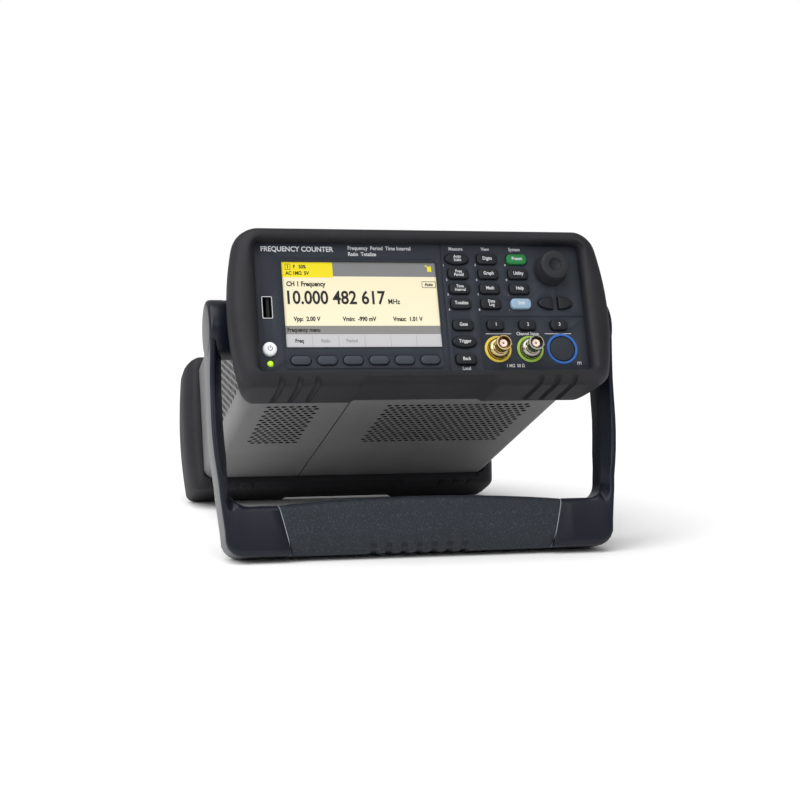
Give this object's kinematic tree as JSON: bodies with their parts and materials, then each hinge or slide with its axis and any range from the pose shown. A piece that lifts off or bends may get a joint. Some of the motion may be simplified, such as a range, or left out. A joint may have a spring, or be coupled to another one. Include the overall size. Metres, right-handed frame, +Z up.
{
  "type": "frequency counter",
  "caption": "Bench frequency counter with display, keypad, knob and input sockets, in rubber bumpers, standing tilted on its folded-down carrying handle.",
  "frame": {"origin": "on the floor under the middle of the whole box, with the counter standing on its handle and rear bumper", "axes": "+X to the right as seen from the front, +Y to the back, +Z up; the cabinet leans back with its front raised"},
  "size_m": [0.261, 0.3144, 0.2026],
  "materials": {
    "bumper_rubber": "moulded charcoal rubber, matte with a fine sheen",
    "panel_plastic": "moulded slate grey plastic with printed legends",
    "key_dark": "dark silicone key",
    "softkey_grey": "slate grey silicone key",
    "key_green": "green silicone key",
    "key_blue": "light blue silicone key",
    "power_white": "white translucent plastic button",
    "cover_paint": "grey powder paint on folded sheet",
    "handle_plastic": "dark navy moulded plastic with a soft gloss",
    "grip_texture": "dark textured grip",
    "screen_glass": "clear window over a lit display",
    "display_black": "display module housing",
    "mat_silicone": "silicone dome mat",
    "board_green": "circuit board with its components",
    "chassis_steel": "plated sheet steel",
    "connector_plating": "gold and nickel plated brass",
    "insulator_white": "pale insulator with a central contact hole",
    "led_green": "yellow-green lamp lens, lit",
    "black_plastic": "black moulded plastic"
  },
  "bodies": {
    "cabinet": {"bnc_insulator_1": "insulator_white", "bnc_insulator_2": "insulator_white", "bnc_shell_1": "connector_plating", "bnc_shell_2": "connector_plating", "channel_3_blank": "panel_plastic", "chassis": "chassis_steel", "cover": "cover_paint", "display_module": "display_black", "display_window": "screen_glass", "fan_frame": "black_plastic", "front_board": "board_green", "front_bumper": "bumper_rubber", "front_panel": "panel_plastic", "interface_jack": "chassis_steel", "keypad_mat": "mat_silicone", "main_board": "board_green", "power_inlet": "black_plastic", "power_supply": "board_green", "rear_bnc_gate": "connector_plating", "rear_bnc_reference_in": "connector_plating", "rear_bnc_reference_out": "connector_plating", "rear_bnc_trigger": "connector_plating", "rear_bumper": "bumper_rubber", "rear_panel": "black_plastic", "rear_screw_left": "chassis_steel", "rear_screw_right": "chassis_steel", "rotary_encoder": "chassis_steel", "status_led": "led_green", "usb_port": "black_plastic"},
    "handle": {"handle": "handle_plastic", "handle_grip": "grip_texture"},
    "knob": {"knob": "black_plastic"},
    "power_button": {"power_button": "power_white"},
    "fan_rotor": {"fan_rotor": "black_plastic"},
    "auto_scale_key": {"auto_scale_key": "key_dark"},
    "back_key": {"back_key": "key_dark"},
    "channel_1_key": {"channel_1_key": "key_dark"},
    "channel_2_key": {"channel_2_key": "key_dark"},
    "channel_3_key": {"channel_3_key": "key_dark"},
    "data_log_key": {"data_log_key": "key_dark"},
    "digits_key": {"digits_key": "key_dark"},
    "frequency_key": {"frequency_key": "key_dark"},
    "gate_key": {"gate_key": "key_dark"},
    "graph_key": {"graph_key": "key_dark"},
    "help_key": {"help_key": "key_dark"},
    "left_arrow_key": {"left_arrow_key": "key_dark"},
    "math_key": {"math_key": "key_dark"},
    "preset_key": {"preset_key": "key_green"},
    "right_arrow_key": {"right_arrow_key": "key_dark"},
    "shift_key": {"shift_key": "key_blue"},
    "softkey_1": {"softkey_1": "softkey_grey"},
    "softkey_2": {"softkey_2": "softkey_grey"},
    "softkey_3": {"softkey_3": "softkey_grey"},
    "softkey_4": {"softkey_4": "softkey_grey"},
    "softkey_5": {"softkey_5": "softkey_grey"},
    "softkey_6": {"softkey_6": "softkey_grey"},
    "time_interval_key": {"time_interval_key": "key_dark"},
    "totalize_key": {"totalize_key": "key_dark"},
    "trigger_key": {"trigger_key": "key_dark"},
    "utility_key": {"utility_key": "key_dark"}
  },
  "joints": [
    {"name": "handle_swing", "type": "hinge", "parent": "cabinet", "child": "handle", "pos_m": [0, -0.10156, 0.13954], "axis": [1, 0, 0], "range_deg": [-238, 50]},
    {"name": "knob_turn", "type": "hinge", "parent": "cabinet", "child": "knob", "pos_m": [0.085, -0.12381, 0.17794], "axis": [0, 0.9274, -0.374], "continuous": true},
    {"name": "fan_spin", "type": "hinge", "parent": "cabinet", "child": "fan_rotor", "pos_m": [-0.062, 0.09377, 0.06508], "axis": [0, 0.9274, -0.374], "continuous": true},
    {"name": "power_button_press", "type": "slide", "parent": "cabinet", "child": "power_button", "axis": [0, 0.9274, -0.374], "range_m": [0, 0.0015], "stiffness_N_per_m": 300, "springref_m": -0.0008},
    {"name": "auto_scale_key_press", "type": "slide", "parent": "cabinet", "child": "auto_scale_key", "axis": [0, 0.9274, -0.374], "range_m": [0, 0.0012], "stiffness_N_per_m": 300, "springref_m": -0.0005},
    {"name": "back_key_press", "type": "slide", "parent": "cabinet", "child": "back_key", "axis": [0, 0.9274, -0.374], "range_m": [0, 0.0012], "stiffness_N_per_m": 300, "springref_m": -0.0005},
    {"name": "channel_1_key_press", "type": "slide", "parent": "cabinet", "child": "channel_1_key", "axis": [0, 0.9274, -0.374], "range_m": [0, 0.0012], "stiffness_N_per_m": 300, "springref_m": -0.0005},
    {"name": "channel_2_key_press", "type": "slide", "parent": "cabinet", "child": "channel_2_key", "axis": [0, 0.9274, -0.374], "range_m": [0, 0.0012], "stiffness_N_per_m": 300, "springref_m": -0.0005},
    {"name": "channel_3_key_press", "type": "slide", "parent": "cabinet", "child": "channel_3_key", "axis": [0, 0.9274, -0.374], "range_m": [0, 0.0012], "stiffness_N_per_m": 300, "springref_m": -0.0005},
    {"name": "data_log_key_press", "type": "slide", "parent": "cabinet", "child": "data_log_key", "axis": [0, 0.9274, -0.374], "range_m": [0, 0.0012], "stiffness_N_per_m": 300, "springref_m": -0.0005},
    {"name": "digits_key_press", "type": "slide", "parent": "cabinet", "child": "digits_key", "axis": [0, 0.9274, -0.374], "range_m": [0, 0.0012], "stiffness_N_per_m": 300, "springref_m": -0.0005},
    {"name": "frequency_key_press", "type": "slide", "parent": "cabinet", "child": "frequency_key", "axis": [0, 0.9274, -0.374], "range_m": [0, 0.0012], "stiffness_N_per_m": 300, "springref_m": -0.0005},
    {"name": "gate_key_press", "type": "slide", "parent": "cabinet", "child": "gate_key", "axis": [0, 0.9274, -0.374], "range_m": [0, 0.0012], "stiffness_N_per_m": 300, "springref_m": -0.0005},
    {"name": "graph_key_press", "type": "slide", "parent": "cabinet", "child": "graph_key", "axis": [0, 0.9274, -0.374], "range_m": [0, 0.0012], "stiffness_N_per_m": 300, "springref_m": -0.0005},
    {"name": "help_key_press", "type": "slide", "parent": "cabinet", "child": "help_key", "axis": [0, 0.9274, -0.374], "range_m": [0, 0.0012], "stiffness_N_per_m": 300, "springref_m": -0.0005},
    {"name": "left_arrow_key_press", "type": "slide", "parent": "cabinet", "child": "left_arrow_key", "axis": [0, 0.9274, -0.374], "range_m": [0, 0.0012], "stiffness_N_per_m": 300, "springref_m": -0.0005},
    {"name": "math_key_press", "type": "slide", "parent": "cabinet", "child": "math_key", "axis": [0, 0.9274, -0.374], "range_m": [0, 0.0012], "stiffness_N_per_m": 300, "springref_m": -0.0005},
    {"name": "preset_key_press", "type": "slide", "parent": "cabinet", "child": "preset_key", "axis": [0, 0.9274, -0.374], "range_m": [0, 0.0012], "stiffness_N_per_m": 300, "springref_m": -0.0005},
    {"name": "right_arrow_key_press", "type": "slide", "parent": "cabinet", "child": "right_arrow_key", "axis": [0, 0.9274, -0.374], "range_m": [0, 0.0012], "stiffness_N_per_m": 300, "springref_m": -0.0005},
    {"name": "shift_key_press", "type": "slide", "parent": "cabinet", "child": "shift_key", "axis": [0, 0.9274, -0.374], "range_m": [0, 0.0012], "stiffness_N_per_m": 300, "springref_m": -0.0005},
    {"name": "softkey_1_press", "type": "slide", "parent": "cabinet", "child": "softkey_1", "axis": [0, 0.9274, -0.374], "range_m": [0, 0.0007], "stiffness_N_per_m": 300, "springref_m": -0.0005},
    {"name": "softkey_2_press", "type": "slide", "parent": "cabinet", "child": "softkey_2", "axis": [0, 0.9274, -0.374], "range_m": [0, 0.0007], "stiffness_N_per_m": 300, "springref_m": -0.0005},
    {"name": "softkey_3_press", "type": "slide", "parent": "cabinet", "child": "softkey_3", "axis": [0, 0.9274, -0.374], "range_m": [0, 0.0007], "stiffness_N_per_m": 300, "springref_m": -0.0005},
    {"name": "softkey_4_press", "type": "slide", "parent": "cabinet", "child": "softkey_4", "axis": [0, 0.9274, -0.374], "range_m": [0, 0.0007], "stiffness_N_per_m": 300, "springref_m": -0.0005},
    {"name": "softkey_5_press", "type": "slide", "parent": "cabinet", "child": "softkey_5", "axis": [0, 0.9274, -0.374], "range_m": [0, 0.0007], "stiffness_N_per_m": 300, "springref_m": -0.0005},
    {"name": "softkey_6_press", "type": "slide", "parent": "cabinet", "child": "softkey_6", "axis": [0, 0.9274, -0.374], "range_m": [0, 0.0007], "stiffness_N_per_m": 300, "springref_m": -0.0005},
    {"name": "time_interval_key_press", "type": "slide", "parent": "cabinet", "child": "time_interval_key", "axis": [0, 0.9274, -0.374], "range_m": [0, 0.0012], "stiffness_N_per_m": 300, "springref_m": -0.0005},
    {"name": "totalize_key_press", "type": "slide", "parent": "cabinet", "child": "totalize_key", "axis": [0, 0.9274, -0.374], "range_m": [0, 0.0012], "stiffness_N_per_m": 300, "springref_m": -0.0005},
    {"name": "trigger_key_press", "type": "slide", "parent": "cabinet", "child": "trigger_key", "axis": [0, 0.9274, -0.374], "range_m": [0, 0.0012], "stiffness_N_per_m": 300, "springref_m": -0.0005},
    {"name": "utility_key_press", "type": "slide", "parent": "cabinet", "child": "utility_key", "axis": [0, 0.9274, -0.374], "range_m": [0, 0.0012], "stiffness_N_per_m": 300, "springref_m": -0.0005}
  ]
}
